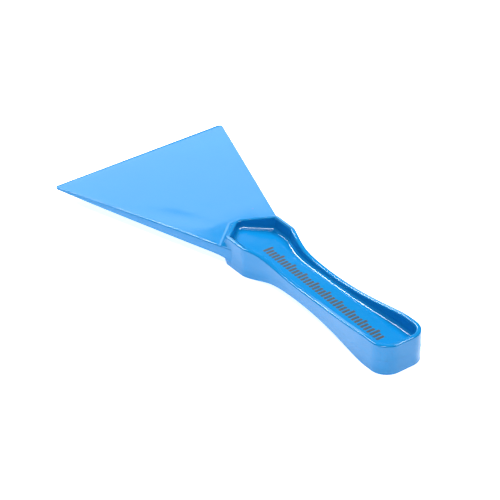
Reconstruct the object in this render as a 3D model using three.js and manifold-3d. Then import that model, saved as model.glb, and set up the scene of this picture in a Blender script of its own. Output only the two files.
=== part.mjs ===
// One-piece hand scraper: a wedge blade on a waisted handle of I-shaped section.
// Millimetres, +Z up. X runs along the handle: the cutting edge is at -X, the handle's end at +X.
// The origin is under the middle of the bounding box, on the plane of the lower rim.
// A "station" is a distance along the handle, measured from the handle's end.
import * as THREE from "three";
import { mergeVertices } from "three/addons/utils/BufferGeometryUtils.js";
import Module from "manifold-3d";

const wasm = await Module();
wasm.setup();

// Driving dimensions
const overallLength = 234;
const bladeWidth = 111;
const handleHeight = 17.4;
const webThickness = 2.8;
const wallThickness = 2.7;

// Blade
const bladeRootThickness = 6;
const cuttingEdgeThickness = 0.5;
const bladeTaperPower = 0.6;
const bladeFullThicknessStation = 146;
const bladeRootStation = 133.5;
const bladeRootHalfWidth = 21.4;
const bladeCornerRadius = 2.3;

// Handle in plan: half widths at stations from the handle's end
const endCornerRadius = 9.8;
const endHalfWidth = 14.55;
const endStraightTo = 18.5;
const waistHalfWidth = 11.9;
const waistFrom = 74;
const waistTo = 82;
const shoulder = { station: 112, halfWidth: 17.1 };
const cheek = { station: 127.3, halfWidth: 17.25 };
const nose = { station: 140.7, halfWidth: 2.4 };

// Handle from the side: height of a rim above the mid-plane at stations from the handle's end
const fullHalfHeight = handleHeight / 2;
const waistHalfHeight = 4.15;
const noseHalfHeight = 5.1;
const endLandTo = 14.4;
const lowestStation = 74;
const headLandFrom = 111;

const curveSteps = 18;
const arcSteps = 8;
const midPlane = fullHalfHeight;
const reach = 400;

const xAt = (station) => overallLength / 2 - station;

// Points of a cubic curve, without its first point
function cubic(from, controlA, controlB, to) {
  const curve = new THREE.CubicBezierCurve(
    new THREE.Vector2(...from),
    new THREE.Vector2(...controlA),
    new THREE.Vector2(...controlB),
    new THREE.Vector2(...to),
  );
  return curve.getPoints(curveSteps).slice(1);
}

// Points of a circular arc, its first point included
function arc(centreX, centreY, radius, startAngle, endAngle) {
  const curve = new THREE.EllipseCurve(
    centreX, centreY, radius, radius, startAngle, endAngle, endAngle < startAngle,
  );
  return curve.getPoints(arcSteps);
}

// One side of the handle's plan, as (station, half width), from the end wall to the nose
function handleSide() {
  const endCorner = arc(
    endCornerRadius, endHalfWidth - endCornerRadius, endCornerRadius, Math.PI, Math.PI / 2,
  );
  const taper = cubic(
    [endStraightTo, endHalfWidth], [33, 14], [45, waistHalfWidth], [waistFrom, waistHalfWidth],
  );
  const flare = cubic(
    [waistTo, waistHalfWidth], [96.5, waistHalfWidth], [99.6, 12.2],
    [shoulder.station, shoulder.halfWidth],
  );
  return [
    ...endCorner,
    new THREE.Vector2(endStraightTo, endHalfWidth),
    ...taper,
    new THREE.Vector2(waistTo, waistHalfWidth),
    ...flare,
    new THREE.Vector2(cheek.station, cheek.halfWidth),
    new THREE.Vector2(nose.station, nose.halfWidth),
  ];
}

// Closed plan outline of the handle, counterclockwise
function handleOutline() {
  const side = handleSide().map((p) => new THREE.Vector2(xAt(p.x), p.y));
  const mirrored = side.map((p) => new THREE.Vector2(p.x, -p.y)).reverse();
  return [...side, ...mirrored];
}

// The same outline moved inwards by a distance, with mitred corners
function inset(points, distance) {
  return points.map((point, i) => {
    const before = points[(i + points.length - 1) % points.length];
    const after = points[(i + 1) % points.length];
    const along = point.clone().sub(before).normalize();
    const onward = after.clone().sub(point).normalize();
    const normal = new THREE.Vector2(-along.y - onward.y, along.x + onward.x).normalize();
    const mitre = distance / Math.sqrt((1 + along.dot(onward)) / 2);
    return point.clone().addScaledVector(normal, mitre);
  });
}

// Height of the rim above the mid-plane, as (x, height) points from the handle's end to the nose
function rimCurve() {
  const land = fullHalfHeight;
  const down = cubic(
    [endLandTo, land], [22.5, 8.7], [41, waistHalfHeight], [lowestStation, waistHalfHeight],
  );
  const up = cubic([lowestStation, waistHalfHeight], [98.6, 4.5], [99.6, 8.6], [headLandFrom, land]);
  const stations = [
    new THREE.Vector2(-1, land),
    new THREE.Vector2(endLandTo, land),
    ...down,
    ...up,
    new THREE.Vector2(cheek.station, land),
    new THREE.Vector2(nose.station, noseHalfHeight),
    new THREE.Vector2(nose.station + 1, noseHalfHeight),
  ];
  return stations.map((p) => new THREE.Vector2(xAt(p.x), p.y));
}

function extrude(points, depth, hole) {
  const shape = new THREE.Shape(points);
  if (hole) shape.holes.push(new THREE.Path(hole));
  return new THREE.ExtrudeGeometry(shape, { depth, bevelEnabled: false });
}

// A side profile in X and Z, made solid right across the part in Y
function extrudeAcross(points) {
  const geometry = extrude(points, reach);
  geometry.rotateX(Math.PI / 2);
  geometry.translate(0, reach / 2, 0);
  return geometry;
}

function solid(geometry) {
  const bare = geometry.clone();
  bare.deleteAttribute("normal");
  bare.deleteAttribute("uv");
  const merged = mergeVertices(bare, 1e-4);
  const mesh = new wasm.Mesh({
    numProp: 3,
    vertProperties: new Float32Array(merged.attributes.position.array),
    triVerts: new Uint32Array(merged.index.array),
  });
  return new wasm.Manifold(mesh);
}

function toGeometry(manifold) {
  const mesh = manifold.getMesh();
  const geometry = new THREE.BufferGeometry();
  geometry.setAttribute("position", new THREE.BufferAttribute(mesh.vertProperties, 3));
  geometry.setIndex(new THREE.BufferAttribute(mesh.triVerts, 1));
  geometry.computeVertexNormals();
  return geometry;
}

// Flat floor of both troughs, level with the middle of the handle's height
function webGeometry() {
  const geometry = extrude(handleOutline(), webThickness);
  geometry.translate(0, 0, midPlane - webThickness / 2);
  return geometry;
}

// Wall that runs round one trough. Its rim dips at the waist and at the nose.
function wallGeometry(upwards) {
  const outline = handleOutline();
  const ring = extrude(outline, fullHalfHeight, inset(outline, wallThickness).reverse());
  const profile = rimCurve();
  const first = profile[0];
  const last = profile[profile.length - 1];
  profile.push(new THREE.Vector2(last.x, webThickness / 2));
  profile.push(new THREE.Vector2(first.x, webThickness / 2));
  const wall = toGeometry(solid(ring).intersect(solid(extrudeAcross(profile))));
  if (!upwards) wall.rotateX(Math.PI);
  wall.translate(0, 0, midPlane);
  return wall;
}

// Plan of the blade: a trapezium that widens from the head to the cutting edge, with round corners.
// Its sides run from the root, tangent to the corner arcs, and on inside the head.
function bladeOutline() {
  const centreX = xAt(overallLength) + bladeCornerRadius;
  const centreY = bladeWidth / 2 - bladeCornerRadius;
  const run = xAt(bladeRootStation) - centreX;
  const rise = centreY - bladeRootHalfWidth;
  const sideAngle = Math.atan2(rise, run) + Math.asin(bladeCornerRadius / Math.hypot(run, rise));
  const innerX = xAt(shoulder.station);
  const inwards = (innerX - xAt(bladeRootStation)) * Math.tan(sideAngle);
  const corner = arc(centreX, centreY, bladeCornerRadius, Math.PI / 2 - sideAngle, Math.PI);
  const side = [new THREE.Vector2(innerX, bladeRootHalfWidth - inwards), ...corner];
  const mirrored = side.map((p) => new THREE.Vector2(p.x, -p.y)).reverse();
  return [...side, ...mirrored];
}

// Blade from the side: it thins towards the cutting edge, faster and faster.
// The steps crowd together near the edge, where the curve is tightest.
function bladeProfile() {
  const edgeX = xAt(overallLength);
  const taper = overallLength - bladeFullThicknessStation;
  const growth = bladeRootThickness - cuttingEdgeThickness;
  const steps = 14;
  const top = [];
  for (let i = 0; i <= steps; i += 1) {
    const fraction = (i / steps) ** 2;
    const thickness = cuttingEdgeThickness + growth * fraction ** bladeTaperPower;
    top.push(new THREE.Vector2(edgeX + taper * fraction, thickness / 2));
  }
  top.push(new THREE.Vector2(xAt(shoulder.station), bladeRootThickness / 2));
  const bottom = top.map((p) => new THREE.Vector2(p.x, -p.y)).reverse();
  return [...bottom, ...top].reverse();
}

function bladeGeometry() {
  const plan = extrude(bladeOutline(), handleHeight);
  plan.translate(0, 0, -fullHalfHeight);
  const handle = extrude(handleOutline(), handleHeight);
  handle.translate(0, 0, -fullHalfHeight);
  const blade = solid(plan).intersect(solid(extrudeAcross(bladeProfile())));
  const geometry = toGeometry(blade.subtract(solid(handle)));
  geometry.translate(0, 0, midPlane);
  return geometry;
}

function plastic(color) {
  return new THREE.MeshStandardMaterial({ color, roughness: 0.22, metalness: 0 });
}

function addPiece(group, name, geometry, color) {
  const mesh = new THREE.Mesh(geometry, plastic(color));
  mesh.name = name;
  group.add(mesh);
}

const scraper = new THREE.Group();
addPiece(scraper, "blade", bladeGeometry(), 0x6cc0ff);
addPiece(scraper, "handle_web", webGeometry(), 0x1e9bff);
addPiece(scraper, "upper_wall", wallGeometry(true), 0x4fadf8);
addPiece(scraper, "lower_wall", wallGeometry(false), 0x4fadf8);

export default scraper;
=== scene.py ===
import math

import bpy
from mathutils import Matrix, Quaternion, Vector


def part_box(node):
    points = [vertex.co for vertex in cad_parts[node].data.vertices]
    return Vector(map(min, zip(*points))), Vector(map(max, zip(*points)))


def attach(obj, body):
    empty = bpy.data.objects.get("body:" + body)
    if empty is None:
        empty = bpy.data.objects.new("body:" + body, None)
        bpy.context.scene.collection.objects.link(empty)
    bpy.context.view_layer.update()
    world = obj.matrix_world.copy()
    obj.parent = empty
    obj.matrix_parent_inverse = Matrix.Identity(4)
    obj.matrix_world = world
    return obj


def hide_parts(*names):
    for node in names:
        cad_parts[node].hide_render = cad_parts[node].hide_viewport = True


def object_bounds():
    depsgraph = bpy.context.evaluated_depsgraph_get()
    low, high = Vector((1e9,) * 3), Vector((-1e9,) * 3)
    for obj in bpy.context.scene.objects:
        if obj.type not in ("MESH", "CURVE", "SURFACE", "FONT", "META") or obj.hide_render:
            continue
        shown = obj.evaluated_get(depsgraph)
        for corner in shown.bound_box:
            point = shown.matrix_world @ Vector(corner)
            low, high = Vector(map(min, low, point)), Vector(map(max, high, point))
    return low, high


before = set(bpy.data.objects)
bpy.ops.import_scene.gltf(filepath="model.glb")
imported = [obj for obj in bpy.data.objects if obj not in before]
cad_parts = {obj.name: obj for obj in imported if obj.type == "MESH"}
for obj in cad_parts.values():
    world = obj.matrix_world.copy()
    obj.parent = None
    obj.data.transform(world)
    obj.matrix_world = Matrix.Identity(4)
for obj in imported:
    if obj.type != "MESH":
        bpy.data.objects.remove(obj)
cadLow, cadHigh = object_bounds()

mm = 0.001
touching = 1e-6  # metres, points closer than this count as one
endX = cadHigh.x
edgeX = cadLow.x
middleZ = (cadLow.z + cadHigh.z) / 2  # both halves of the moulding mirror each other here
fullHalfHeight = (cadHigh.z - cadLow.z) / 2
webHalf = (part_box("handle_web")[1].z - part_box("handle_web")[0].z) / 2
bladeHalf = (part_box("blade")[1].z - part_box("blade")[0].z) / 2
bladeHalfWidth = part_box("blade")[1].y
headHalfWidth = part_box("handle_web")[1].y
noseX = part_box("handle_web")[0].x


# Pieces are modelled with the middle of the handle's height at zero, and lifted at the end.
# A station is a distance in mm along the handle, from its end.


def xAt(station):
    return endX - station * mm


def stationAt(x):
    return (endX - x) / mm


def deselectAll():
    if bpy.context.object and bpy.context.object.mode == "EDIT":
        bpy.ops.object.mode_set(mode="OBJECT")
    bpy.ops.object.select_all(action="DESELECT")


def addBlock(name, lowX, highX, halfWidth, lowZ, highZ):
    deselectAll()
    bpy.ops.mesh.primitive_cube_add(
        size=1,
        location=((lowX + highX) / 2, 0, (lowZ + highZ) / 2),
        scale=(highX - lowX, 2 * halfWidth, highZ - lowZ),
    )
    block = bpy.context.active_object
    block.name = block.data.name = name
    bpy.ops.object.transform_apply(location=True, rotation=True, scale=True)
    return block


def pick(piece, kind, test):
    # selects what passes the test, and leaves the piece in edit mode
    bpy.context.view_layer.objects.active = piece
    bpy.ops.object.mode_set(mode="EDIT")
    bpy.ops.mesh.select_mode(type=kind)
    bpy.ops.mesh.select_all(action="DESELECT")
    bpy.ops.object.mode_set(mode="OBJECT")
    mesh = piece.data
    for item in {"VERT": mesh.vertices, "EDGE": mesh.edges, "FACE": mesh.polygons}[kind]:
        item.select = bool(test(item))
    bpy.ops.object.mode_set(mode="EDIT")


def ends(piece, edge):
    return [piece.data.vertices[i].co for i in edge.vertices]


def isUpright(a, b):
    # an edge that climbs at least 1 mm, and at least three times as far as it goes sideways
    rise = abs(a.z - b.z)
    return rise > 1 * mm and rise > 3 * math.hypot(a.x - b.x, a.y - b.y)


def isUprightAt(piece, edge, x):
    a, b = ends(piece, edge)
    return isUpright(a, b) and abs(a.x - x) < touching


def isFootOfBoss(piece, edge, foot):
    # both ends lie at the foot's height and carry an edge that climbs away from it
    a, b = edge.vertices
    climbing = set()
    for other in piece.data.edges:
        c, d = other.vertices
        top = max(piece.data.vertices[c].co.z, piece.data.vertices[d].co.z)
        if top > foot + 10 * touching:
            climbing.update((c, d))
    level = all(abs(piece.data.vertices[i].co.z - foot) < touching for i in (a, b))
    return level and a in climbing and b in climbing


def pickSharp(piece, degrees, test):
    # edges where the surface turns by more than this angle, and whose ends pass the test
    bpy.context.view_layer.objects.active = piece
    bpy.ops.object.mode_set(mode="EDIT")
    bpy.ops.mesh.select_mode(type="EDGE")
    bpy.ops.mesh.select_all(action="DESELECT")
    bpy.ops.mesh.edges_select_sharp(sharpness=math.radians(degrees))
    bpy.ops.object.mode_set(mode="OBJECT")
    sharp = {edge.index for edge in piece.data.edges if edge.select}
    pick(piece, "EDGE", lambda edge: edge.index in sharp and test(*ends(piece, edge)))


def cutAt(piece, positions, axis=0):
    # one loop round the piece at each place along the axis
    normal = [0, 0, 0]
    normal[axis] = 1
    bpy.context.view_layer.objects.active = piece
    bpy.ops.object.mode_set(mode="EDIT")
    for position in positions:
        bpy.ops.mesh.select_all(action="SELECT")
        bpy.ops.mesh.bisect(plane_co=[position * n for n in normal], plane_no=normal)
    bpy.ops.object.mode_set(mode="OBJECT")


def roundPicked(reach, segments):
    # rounds the picked edges, by a reach in mm, and leaves edit mode
    bpy.ops.mesh.bevel(offset=reach * mm, segments=segments, profile=0.5, clamp_overlap=False)
    bpy.ops.object.mode_set(mode="OBJECT")


def addDraft(piece, heights, scale, centreX=0):
    # a moulding narrows away from its parting line: a step at each height in mm, above and below
    for height in heights:
        pick(piece, "VERT", lambda v: abs(v.co.z) > height * mm)
        bpy.ops.transform.resize(value=scale, center_override=(centreX, 0, 0))
    bpy.ops.object.mode_set(mode="OBJECT")


def sections(piece, low=-1.0, high=1.0):
    # where along x the piece has rings of points
    found = []
    for x in sorted(v.co.x for v in piece.data.vertices):
        if low < x < high and (not found or x - found[-1] > touching):
            found.append(x)
    return found


def shapeSections(piece, halfWidthAt=None, halfHeightAt=None, low=-1.0, high=1.0):
    # gives each cross section its half width and half height, in mm at its station
    for x in sections(piece, low, high):
        here = [v.co for v in piece.data.vertices if abs(v.co.x - x) < touching]
        station = stationAt(x)
        wide = halfWidthAt(station) * mm / max(abs(p.y) for p in here) if halfWidthAt else 1
        tall = halfHeightAt(station) * mm / max(abs(p.z) for p in here) if halfHeightAt else 1
        pick(piece, "VERT", lambda v: abs(v.co.x - x) < touching)
        bpy.ops.transform.resize(value=(1, wide, tall), center_override=(x, 0, 0))
        bpy.ops.object.mode_set(mode="OBJECT")


def applyModifier(piece, kind, **settings):
    modifier = piece.modifiers.new(kind.lower(), kind)
    for key, value in settings.items():
        setattr(modifier, key, value)
    deselectAll()
    piece.select_set(True)
    bpy.context.view_layer.objects.active = piece
    bpy.ops.object.modifier_apply(modifier=modifier.name)


def combine(piece, other, operation):
    applyModifier(piece, "BOOLEAN", operation=operation, object=other, solver="EXACT")
    bpy.data.objects.remove(other)


def finishSurface(piece, degrees):
    # lifts the piece to its place and shades it smooth, with the flats kept flat
    pick(piece, "VERT", lambda v: True)
    bpy.ops.mesh.remove_doubles(threshold=touching)
    bpy.ops.mesh.normals_make_consistent(inside=False)
    bpy.ops.transform.translate(value=(0, 0, middleZ))
    bpy.ops.object.mode_set(mode="OBJECT")
    piece.select_set(True)
    bpy.ops.object.shade_smooth_by_angle(angle=math.radians(degrees))
    applyModifier(piece, "WEIGHTED_NORMAL", keep_sharp=True, weight=60)


def onCurve(station, points):
    # a cubic curve has four (station, value) points; its value over a station is found by halving
    low, high = 0.0, 1.0
    for _ in range(40):
        t = (low + high) / 2
        s = 1 - t
        weights = (s**3, 3 * s * s * t, 3 * s * t * t, t**3)
        reached, value = (sum(w * p[i] for w, p in zip(weights, points)) for i in (0, 1))
        if reached < station:
            low = t
        else:
            high = t
    return value


# Handle: a waisted bar of I-shaped section, its two troughs sunk from above and below

handle = {
    "endHalfWidth": 14.55,
    "endCorner": 9.8,
    "straightTo": 18.5,
    "waist": (74, 82, 11.9),
    "shoulder": (112, 17.1),
    "cheek": (127.3, 17.25),
    "noseHalfWidth": 2.4,
    "endPull": ((33, 14), (45, 11.9)),  # what draws the outline in from the end to the waist
    "headPull": ((96.5, 11.9), (99.6, 12.2)),  # and out again from the waist to the shoulder
    "waistHalfHeight": 4.15,
    "noseHalfHeight": 5.1,
    "endLand": 14.4,  # the rim is level up to here, then dips towards the lowest place
    "lowest": 74,
    "headLand": 111,
    "endDip": ((22.5, 8.7), (41, 4.15)),
    "headRise": ((98.6, 4.5), (99.6, 8.6)),
    "wall": 2.7,
    "innerDraft": 0.3,
    "draft": (0.9985, 0.993, 1),  # how much each step of draft leaves of length, width and height
    "draftHeights": (0.2, 3),
    "partingHeight": 0.25,
    "cornerReach": 1.8,
    "troughCorner": 0.5,
    "rimRound": 0.8,
    "floorCove": 1.7,
    "loopSpacing": 2.1,
    "loopGap": 0.4,  # no loop comes closer than this to the end of the straight part
    "smoothBelow": 50,  # degrees, edges sharper than this stay sharp
}
noseStation = stationAt(noseX)


def handleHalfWidth(station):
    h = handle
    waistFrom, waistTo, waistWidth = h["waist"]
    if station <= h["straightTo"]:
        return h["endHalfWidth"]
    if station < waistFrom:
        start = (h["straightTo"], h["endHalfWidth"])
        return onCurve(station, [start, *h["endPull"], (waistFrom, waistWidth)])
    if station <= waistTo:
        return waistWidth
    if station < h["shoulder"][0]:
        start = (waistTo, waistWidth)
        return onCurve(station, [start, *h["headPull"], h["shoulder"]])
    if station < h["cheek"][0]:
        a, b = h["shoulder"], h["cheek"]
    else:
        a, b = h["cheek"], (noseStation, h["noseHalfWidth"])
    share = min(1, (station - a[0]) / (b[0] - a[0]))
    return a[1] + (b[1] - a[1]) * share


def handleHalfHeight(station):
    h = handle
    land = fullHalfHeight / mm
    low = (h["lowest"], h["waistHalfHeight"])
    if h["endLand"] < station < low[0]:
        return onCurve(station, [(h["endLand"], land), *h["endDip"], low])
    if low[0] <= station < h["headLand"]:
        return onCurve(station, [low, *h["headRise"], (h["headLand"], land)])
    past = max(0, station - h["cheek"][0]) / (noseStation - h["cheek"][0])
    return land + (h["noseHalfHeight"] - land) * min(1, past)


def evenStations(start, stop, spacing):
    steps = max(1, round((stop - start) / spacing))
    return [start + (stop - start) * i / steps for i in range(1, steps)]


def makeHandle():
    h = handle
    piece = addBlock("scraperHandle", noseX, endX, headHalfWidth, 0, fullHalfHeight)

    # the round end is made while the handle has no other loops near it
    straightX = xAt(h["straightTo"])
    cutAt(piece, [straightX])
    shapeSections(piece, halfWidthAt=handleHalfWidth, low=straightX - 10 * touching)
    pick(piece, "EDGE", lambda e: isUprightAt(piece, e, endX))
    roundPicked(h["endCorner"], 10)

    # loops along the rest, each scaled to its place on the waist and the head
    shoulder, cheek = h["shoulder"][0], h["cheek"][0]
    stations = [h["endLand"], shoulder, cheek]
    stations += evenStations(h["endLand"], shoulder, h["loopSpacing"])
    cutAt(piece, [xAt(s) for s in stations if abs(s - h["straightTo"]) > h["loopGap"]])
    shapeSections(piece, halfWidthAt=handleHalfWidth, high=straightX + 10 * touching)
    shapeSections(piece, halfHeightAt=handleHalfHeight)

    # the trough: the rim is inset, then the floor is pushed down to the web
    pick(piece, "FACE", lambda f: f.normal.z > 0.5)
    bpy.ops.mesh.inset(thickness=h["wall"] * mm, use_even_offset=True)
    bpy.ops.object.mode_set(mode="OBJECT")
    trough = {f.index for f in piece.data.polygons if f.select}
    shapeSections(piece, halfHeightAt=handleHalfHeight)
    pick(piece, "FACE", lambda f: f.index in trough)
    bpy.ops.mesh.inset(thickness=h["innerDraft"] * mm, use_even_offset=True)
    bpy.ops.transform.resize(value=(1, 1, 0), center_override=(0, 0, webHalf))
    bpy.ops.mesh.dissolve_faces()
    bpy.ops.object.mode_set(mode="OBJECT")

    # upright corners of the head, outside and in the trough
    for reach, outside in ((h["cornerReach"], True), (h["troughCorner"], False)):
        pickSharp(
            piece, 12,
            lambda a, b: isUpright(a, b) and (min(a.z, b.z) < webHalf / 2) == outside,
        )
        roundPicked(reach, 4)

    # the wall leans in a little towards its rim, and stands proud where the mould halves met
    pick(piece, "FACE", lambda f: f.normal.z < -0.9)
    bpy.ops.mesh.delete(type="FACE")
    bpy.ops.object.mode_set(mode="OBJECT")
    cutAt(piece, [h["partingHeight"] * mm], axis=2)
    addDraft(piece, h["draftHeights"], h["draft"], centreX=(noseX + endX) / 2)

    # the floor runs into the walls in a cove, and both edges of the rim are round
    justAboveFloor = webHalf + 0.1 * mm
    pickSharp(piece, 40, lambda a, b: max(a.z, b.z) < justAboveFloor)
    roundPicked(h["floorCove"], 6)
    belowRim = 3 * mm
    pickSharp(piece, 40, lambda a, b: min(a.z, b.z) > belowRim)
    roundPicked(h["rimRound"], 6)
    pick(piece, "VERT", lambda v: v.co.z > fullHalfHeight)
    bpy.ops.transform.resize(value=(1, 1, 0), center_override=(0, 0, fullHalfHeight))
    bpy.ops.object.mode_set(mode="OBJECT")

    mirrorZ = (False, False, True)
    applyModifier(piece, "MIRROR", use_axis=mirrorZ, merge_threshold=10 * touching)
    finishSurface(piece, h["smoothBelow"])
    return piece


print("handle")
scraperHandle = makeHandle()
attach(scraperHandle, "root")
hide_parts("handle_web", "upper_wall", "lower_wall")


# Blade: a wedge that thins to the scraping edge, with a cove where the head rises from it

blade = {
    "edgeThickness": 0.5,
    "taperPower": 0.6,
    "fullStation": 146,
    "rootStation": 133.5,
    "rootHalfWidth": 21.4,
    "cornerRadius": 2.3,
    "edgeRound": 0.7,
    "draft": (1, 0.9982, 1),
    "draftHeights": (0.24, 2),
    "partingHeight": 0.3,
    "taperLoops": 22,
    "coveReach": 3.4,
    "coveAtNose": 0.42,  # its height there, as a share of its height at the cheeks
    "coveLoops": 6,
    "coveDepth": 1.2,
    "coveInside": 0.25,  # how far its boss stands inside the head's outline
    "coveSideGap": 0.3,
    "hiddenDepth": 1.45,  # how far the root runs on inside the head's wall
    "smoothBelow": 35,
}
cornerY = bladeHalfWidth - blade["cornerRadius"] * mm
sideRun = xAt(blade["rootStation"]) - edgeX - blade["cornerRadius"] * mm
sideRise = cornerY - blade["rootHalfWidth"] * mm
sideAngle = math.atan2(sideRise, sideRun)
sideAngle += math.asin(blade["cornerRadius"] * mm / math.hypot(sideRun, sideRise))


def bladeHalfWidthAt(station):
    past = blade["rootStation"] - station
    return blade["rootHalfWidth"] - past * math.tan(sideAngle)


def bladeHalfHeightAt(station):
    edge = blade["edgeThickness"] / 2
    fromEdge = (stationAt(edgeX) - station) / (stationAt(edgeX) - blade["fullStation"])
    return edge + (bladeHalf / mm - edge) * min(1, max(0, fromEdge)) ** blade["taperPower"]


def makeHeadBlock(name, grow, low, high):
    # the plan of the handle's head as a block, moved outwards by a distance
    rearX = xAt(handle["shoulder"][0])
    block = addBlock(name, noseX, rearX, headHalfWidth, low, high)
    cutAt(block, [xAt(handle["cheek"][0])])
    shapeSections(block, halfWidthAt=handleHalfWidth)
    if grow:
        pick(block, "FACE", lambda f: abs(f.normal.z) < 0.5)
        bpy.ops.transform.shrink_fatten(value=grow, use_even_offset=True)
        bpy.ops.object.mode_set(mode="OBJECT")
    return block


def makeCove(side):
    # a foot plate with a boss on it, and the step between them rolled into a cove
    b = blade
    reach = b["coveReach"] * mm
    sunk = 0.004 * mm  # the plate lies just below the blade's face, never in its plane
    foot = bladeHalf - sunk
    margin = 2  # mm of plate left outside the cove
    cove = makeHeadBlock("cove", reach + margin * mm, foot - b["coveDepth"] * mm, foot)
    pick(cove, "FACE", lambda f: f.normal.z > 0.5)
    bpy.ops.mesh.inset(thickness=reach + (margin + b["coveInside"]) * mm, use_even_offset=True)
    rise = reach + 0.2 * mm  # a little more than the cove needs
    bpy.ops.mesh.extrude_region_move(TRANSFORM_OT_translate={"value": (0, 0, rise)})
    bpy.ops.object.mode_set(mode="OBJECT")
    pick(cove, "EDGE", lambda e: isFootOfBoss(cove, e, foot))
    roundPicked(b["coveReach"], 8)

    # it is lower in front of the nose, where the rim dips
    cheekX = xAt(handle["cheek"][0])
    loops = b["coveLoops"]
    cutAt(cove, [noseX + (cheekX - noseX) * i / loops for i in range(1, loops)])
    for x in sections(cove):
        share = min(1, max(0, (cheekX - x) / (cheekX - noseX)))
        pick(cove, "VERT", lambda v: abs(v.co.x - x) < touching and v.co.z > foot + touching)
        tall = 1 + (b["coveAtNose"] - 1) * share
        bpy.ops.transform.resize(value=(1, 1, tall), center_override=(x, 0, foot))
        bpy.ops.object.mode_set(mode="OBJECT")

    # it stops at the sides of the blade
    rootX, rootY = xAt(b["rootStation"]), (b["rootHalfWidth"] - b["coveSideGap"]) * mm
    for way in (1, -1):
        pick(cove, "VERT", lambda v: True)
        bpy.ops.mesh.bisect(
            plane_co=(rootX, way * rootY, 0),
            plane_no=(math.sin(sideAngle), way * math.cos(sideAngle), 0),
            use_fill=True,
            clear_outer=True,
        )
        bpy.ops.object.mode_set(mode="OBJECT")
    if side < 0:
        pick(cove, "VERT", lambda v: True)
        bpy.ops.transform.mirror(constraint_axis=(False, False, True), center_override=(0, 0, 0))
    pick(cove, "VERT", lambda v: True)
    bpy.ops.mesh.normals_make_consistent(inside=False)
    bpy.ops.object.mode_set(mode="OBJECT")
    return cove


def makeBlade():
    b = blade
    rearX = xAt(handle["shoulder"][0])
    piece = addBlock("scraperBlade", edgeX, rearX, bladeHalfWidth, -bladeHalf, bladeHalf)
    shapeSections(piece, halfWidthAt=bladeHalfWidthAt)
    pick(piece, "EDGE", lambda e: isUprightAt(piece, e, edgeX))
    cornerTurn = math.pi / 2 + sideAngle
    roundPicked(b["cornerRadius"] * math.tan(cornerTurn / 2), 8)

    # the sides meet in a fine ridge at mid height, and their edges are round
    cutAt(piece, [0, b["partingHeight"] * mm, -b["partingHeight"] * mm], axis=2)
    addDraft(piece, b["draftHeights"], b["draft"])
    onFace = 2 * mm
    pickSharp(piece, 60, lambda p, q: abs(p.z) > onFace and abs(p.z - q.z) < touching)
    roundPicked(b["edgeRound"], 4)

    # loops crowd towards the scraping edge, where the taper curves most
    taper = xAt(b["fullStation"]) - edgeX
    loops = b["taperLoops"]
    cutAt(piece, [edgeX + taper * (i / loops) ** 2 for i in range(2, loops + 1)])
    shapeSections(piece, halfHeightAt=bladeHalfHeightAt)

    for side in (1, -1):
        combine(piece, makeCove(side), "UNION")

    # what lies deep inside the head is cut away, out past the blade's rear end
    hidden = -b["hiddenDepth"] * mm
    cutter = makeHeadBlock("headCutter", hidden, -2 * fullHalfHeight, 2 * fullHalfHeight)
    pick(cutter, "FACE", lambda f: f.normal.x > 0.5)
    pastRear = 20 * mm
    bpy.ops.transform.translate(value=(pastRear, 0, 0))
    bpy.ops.object.mode_set(mode="OBJECT")
    combine(piece, cutter, "DIFFERENCE")

    # the draft took a hair off the width, which is given back
    widest = max(v.co.y for v in piece.data.vertices)
    pick(piece, "VERT", lambda v: True)
    bpy.ops.transform.resize(value=(1, bladeHalfWidth / widest, 1), center_override=(0, 0, 0))
    finishSurface(piece, b["smoothBelow"])
    return piece


print("blade")
scraperBlade = makeBlade()
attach(scraperBlade, "root")
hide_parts("blade")


# Print on the upper trough floor: a plain measuring scale with no figures

printed = {
    "firstX": 4.5,
    "spacing": 2.5,
    "count": 39,
    "longEvery": 4,
    "longMark": 6.2,
    "shortMark": 4.9,
    "markWidth": 1.7,
    "markCorner": 0.51,
    "inkThickness": 0.04,
    "inkSunk": 0.01,  # it reaches this far into the floor, so that no gap shows
    "middleY": -0.8,
    "turn": 1.2,  # degrees, the print sits a little askew
}


def makeMark(length):
    # one bar of ink with round corners; bars of any length share the line of their lower ends
    half = printed["markWidth"] / 2 * mm
    mark = addBlock("mark", -half, half, length / 2 * mm, 0, printed["inkThickness"] * mm)
    pick(mark, "EDGE", lambda e: abs(ends(mark, e)[0].z - ends(mark, e)[1].z) > touching)
    roundPicked(printed["markCorner"], 3)
    pick(mark, "VERT", lambda v: True)
    bpy.ops.transform.translate(value=(0, (length - printed["longMark"]) / 2 * mm, 0))
    bpy.ops.object.mode_set(mode="OBJECT")
    return mark


def makePrintedScale():
    p = printed
    longMark, shortMark = makeMark(p["longMark"]), makeMark(p["shortMark"])
    copies = []
    for i in range(p["count"]):
        pattern = longMark if i % p["longEvery"] == 0 else shortMark
        copy = pattern.copy()
        copy.data = pattern.data.copy()
        bpy.context.collection.objects.link(copy)
        copy.location = ((p["firstX"] + i * p["spacing"]) * mm, p["middleY"] * mm, 0)
        copies.append(copy)
    bpy.data.objects.remove(longMark)
    bpy.data.objects.remove(shortMark)
    deselectAll()
    for copy in copies:
        copy.select_set(True)
    bpy.context.view_layer.objects.active = copies[0]
    bpy.ops.object.transform_apply(location=True, rotation=True, scale=True)
    bpy.ops.object.join()
    piece = bpy.context.active_object
    piece.name = piece.data.name = "printedScale"
    pick(piece, "VERT", lambda v: True)
    pivot = ((p["firstX"] + p["count"] * p["spacing"] / 2) * mm, 0, 0)
    bpy.ops.transform.rotate(
        value=math.radians(p["turn"]), orient_axis="Z", center_override=pivot
    )
    bpy.ops.transform.translate(value=(0, 0, middleZ + webHalf - p["inkSunk"] * mm))
    bpy.ops.object.mode_set(mode="OBJECT")
    return piece


print("printed scale")
printedScale = makePrintedScale()
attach(printedScale, "root")


# Materials

print("materials")


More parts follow.
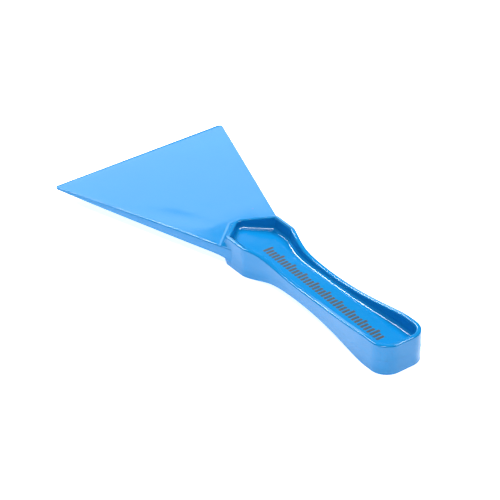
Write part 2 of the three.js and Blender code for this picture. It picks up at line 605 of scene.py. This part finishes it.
def linear(hexColour):
    channels = [int(hexColour[i : i + 2], 16) / 255 for i in (1, 3, 5)]
    return [c / 12.92 if c < 0.04045 else ((c + 0.055) / 1.055) ** 2.4 for c in channels] + [1]


def addNode(tree, kind, settings=None, inputs=None, links=None):
    # settings go on the node, inputs are fixed values, links join other nodes' outputs to it
    node = tree.nodes.new("ShaderNode" + kind)
    for key, value in (settings or {}).items():
        setattr(node, key, value)
    for key, value in (inputs or {}).items():
        node.inputs[key].default_value = value
    for key, (other, output) in (links or {}).items():
        tree.links.new(other.outputs[output], node.inputs[key])
    return node


def startMaterial(name):
    material = bpy.data.materials.new(name)
    material.use_nodes = True
    tree = material.node_tree
    tree.nodes.clear()
    return material, tree


# Polypropylene, injection moulded in a polished tool: a clean wet-looking gloss, a skin that
# isn't quite flat, and a colour that is a little uneven where the melt flowed.
plastic = {
    "colour": "#0A88CF",
    "flowColour": "#0882C7",
    "flowSize": 38,  # mm, the width of a flow patch
    "flowSwirl": 0.8,
    "ior": 1.49,
    "roughness": (0.07, 0.13),  # from clean skin to handled skin
    "handlingSize": 9,  # mm, the patches that hands and cleaning leave
    "handlingRange": (0.35, 0.7),  # the part of the noise that the roughness runs over
    "waveSize": 30,  # mm, the slow unevenness left by shrinkage
    "waveHeight": 0.035,
    "peelSize": 1.1,  # mm, drawn coarser than the real 0.3 mm skin so that it shows
    "peelHeight": 0.0016,
    "sinkPlace": (-50, -22, 11.7),  # a shallow hollow in the blade, where the melt shrank
    "sinkReach": (26, 9, 3),
    "sinkTurn": 29,
    "sinkDepth": 0.13,
    "speckPlace": (-30.1, 15.4, 11.7),  # one small off-colour fleck in the blade
    "speckRadii": (0.2, 0.9),
    "speckStrength": 0.6,
    "speckColour": "#4C74C4",
}


def makePlastic():
    p = plastic
    material, tree = startMaterial("mouldedPolypropylene")
    place = addNode(tree, "TexCoord")
    flow = addNode(
        tree, "TexNoise",
        inputs={"Scale": 1 / (p["flowSize"] * mm), "Detail": 3, "Distortion": p["flowSwirl"]},
        links={"Vector": (place, "Object")},
    )
    colour = addNode(
        tree, "Mix", {"data_type": "RGBA"},
        {6: linear(p["colour"]), 7: linear(p["flowColour"])}, {0: (flow, "Fac")},
    )
    distance = addNode(
        tree, "VectorMath", {"operation": "DISTANCE"},
        {1: [c * mm for c in p["speckPlace"]]}, {0: (place, "Object")},
    )
    speck = addNode(
        tree, "MapRange", {"interpolation_type": "SMOOTHSTEP"},
        {
            "From Min": p["speckRadii"][0] * mm, "From Max": p["speckRadii"][1] * mm,
            "To Min": p["speckStrength"], "To Max": 0,
        },
        {"Value": (distance, "Value")},
    )
    blemished = addNode(
        tree, "Mix", {"data_type": "RGBA"}, {7: linear(p["speckColour"])},
        {0: (speck, "Result"), 6: (colour, 2)},
    )
    handling = addNode(
        tree, "TexNoise",
        inputs={"Scale": 1 / (p["handlingSize"] * mm), "Detail": 5, "Roughness": 0.62},
        links={"Vector": (place, "Object")},
    )
    roughness = addNode(
        tree, "MapRange",
        inputs={
            "From Min": p["handlingRange"][0], "From Max": p["handlingRange"][1],
            "To Min": p["roughness"][0], "To Max": p["roughness"][1],
        },
        links={"Value": (handling, "Fac")},
    )
    wave = addNode(
        tree, "TexNoise", inputs={"Scale": 1 / (p["waveSize"] * mm), "Detail": 1},
        links={"Vector": (place, "Object")},
    )
    waveBump = addNode(
        tree, "Bump", inputs={"Strength": 1, "Distance": p["waveHeight"] * mm},
        links={"Height": (wave, "Fac")},
    )
    peel = addNode(
        tree, "TexNoise", inputs={"Scale": 1 / (p["peelSize"] * mm), "Detail": 2},
        links={"Vector": (place, "Object")},
    )
    peelBump = addNode(
        tree, "Bump", inputs={"Strength": 1, "Distance": p["peelHeight"] * mm},
        links={"Height": (peel, "Fac"), "Normal": (waveBump, "Normal")},
    )
    sinkSpace = addNode(
        tree, "Mapping", {"vector_type": "TEXTURE"},
        {
            "Location": [c * mm for c in p["sinkPlace"]],
            "Rotation": (0, 0, math.radians(p["sinkTurn"])),
            "Scale": [c * mm for c in p["sinkReach"]],
        },
        {"Vector": (place, "Object")},
    )
    fromSink = addNode(
        tree, "VectorMath", {"operation": "LENGTH"}, links={"Vector": (sinkSpace, "Vector")}
    )
    hollow = addNode(
        tree, "MapRange", {"interpolation_type": "SMOOTHSTEP"},
        {"From Min": 0, "From Max": 1, "To Min": 0, "To Max": 1}, {"Value": (fromSink, "Value")},
    )
    sinkBump = addNode(
        tree, "Bump", inputs={"Strength": 1, "Distance": p["sinkDepth"] * mm},
        links={"Height": (hollow, "Result"), "Normal": (peelBump, "Normal")},
    )
    skin = addNode(
        tree, "BsdfPrincipled", inputs={"IOR": p["ior"]},
        links={
            "Base Color": (blemished, 2),
            "Roughness": (roughness, "Result"),
            "Normal": (sinkBump, "Normal"),
        },
    )
    addNode(tree, "OutputMaterial", links={"Surface": (skin, "BSDF")})
    return material


# Pad-printed ink, one thin wiped coat: dark, matt, and slightly patchy where the pad lifted.
ink = {"colour": "#0C1A26", "thinColour": "#22404F", "patchSize": 0.8, "roughness": 0.55}


def makeInk():
    material, tree = startMaterial("padPrintedInk")
    place = addNode(tree, "TexCoord")
    patches = addNode(
        tree, "TexNoise", inputs={"Scale": 1 / (ink["patchSize"] * mm), "Detail": 3},
        links={"Vector": (place, "Object")},
    )
    colour = addNode(
        tree, "Mix", {"data_type": "RGBA"},
        {6: linear(ink["colour"]), 7: linear(ink["thinColour"])}, {0: (patches, "Fac")},
    )
    coat = addNode(
        tree, "BsdfPrincipled", inputs={"IOR": 1.5, "Roughness": ink["roughness"]},
        links={"Base Color": (colour, 2)},
    )
    addNode(tree, "OutputMaterial", links={"Surface": (coat, "BSDF")})
    return material


def wear(piece, material):
    piece.data.materials.clear()
    piece.data.materials.append(material)


polypropylene = makePlastic()
wear(scraperHandle, polypropylene)
wear(scraperBlade, polypropylene)
wear(printedScale, makeInk())


# Studio: a pale table, three small softboxes that draw the bright lines on the round edges,
# and a cool panel beyond the blade, which the blade mirrors

studio = {
    "world": 0.12,
    "table": "#FAFBFC",
    "tableGlow": 0.85,
    "tableHeight": -0.1,  # mm, a hair below the part so that the two never share a plane
    "white": (1, 1, 1),
    "cool": (0.86, 1, 1),  # keeps the blade's sheen from turning violet
    "key": {"place": (-0.78, 0.244, 0.9), "size": (0.3, 0.45), "power": 11.2, "colour": "white"},
    "strip": {"place": (0.05, 0.6, 1.1), "size": (0.7, 0.2), "power": 6.5, "colour": "white"},
    "front": {"place": (0.25, -0.4, 1.13), "size": (0.34, 0.34), "power": 7.8, "colour": "white"},
    "panel": {"place": (-1.2, 0.79, 0.72), "size": (1.3, 0.35), "power": 3, "colour": "cool"},
}
print("studio")
world = bpy.data.worlds.new("softRoom")
bpy.context.scene.world = world
world.use_nodes = True
world.node_tree.nodes["Background"].inputs["Color"].default_value = (1, 1, 1, 1)
world.node_tree.nodes["Background"].inputs["Strength"].default_value = studio["world"]
bpy.context.scene.view_settings.view_transform = "Standard"

deselectAll()
bpy.ops.mesh.primitive_plane_add(size=8, location=(0, 0, studio["tableHeight"] * mm))
table = bpy.context.active_object
table.name = "table"
tableMaterial, tree = startMaterial("whiteAcrylic")  # lit from inside, so it stays white
top = addNode(
    tree, "BsdfPrincipled",
    inputs={
        "Base Color": linear(studio["table"]), "Roughness": 0.6,
        "Emission Color": (1, 1, 1, 1), "Emission Strength": studio["tableGlow"],
    },
)
addNode(tree, "OutputMaterial", links={"Surface": (top, "BSDF")})
wear(table, tableMaterial)

for name in ("key", "strip", "front", "panel"):
    s = studio[name]
    away = Vector((0, 0, middleZ)) - Vector(s["place"])
    bpy.ops.object.light_add(type="AREA", location=s["place"])
    light = bpy.context.active_object
    light.name = name
    light.rotation_euler = away.to_track_quat("-Z", "Y").to_euler()
    light.data.shape = "RECTANGLE"
    light.data.size, light.data.size_y = s["size"]
    light.data.energy = s["power"]
    light.data.color = studio[s["colour"]]
    light.visible_camera = False


# Camera

view = {
    "lookAt": (-6.2, -3.9, 5.6),
    "distance": 1.0467,  # metres
    "azimuth": 54.442,
    "elevation": 33.889,
    "roll": -0.875,
    "lens": 144,
    "sensor": 36,
}
print("camera")
azimuth, elevation = math.radians(view["azimuth"]), math.radians(view["elevation"])
backwards = Vector((math.sin(azimuth), -math.cos(azimuth), math.tan(elevation))).normalized()
lookAt = Vector(view["lookAt"]) * mm
bpy.ops.object.camera_add(location=lookAt + backwards * view["distance"])
camera = bpy.context.active_object
turn = (-backwards).to_track_quat("-Z", "Y") @ Quaternion((0, 0, 1), math.radians(view["roll"]))
camera.rotation_euler = turn.to_euler()
camera.data.lens = view["lens"]
camera.data.sensor_width = view["sensor"]
bpy.context.scene.camera = camera
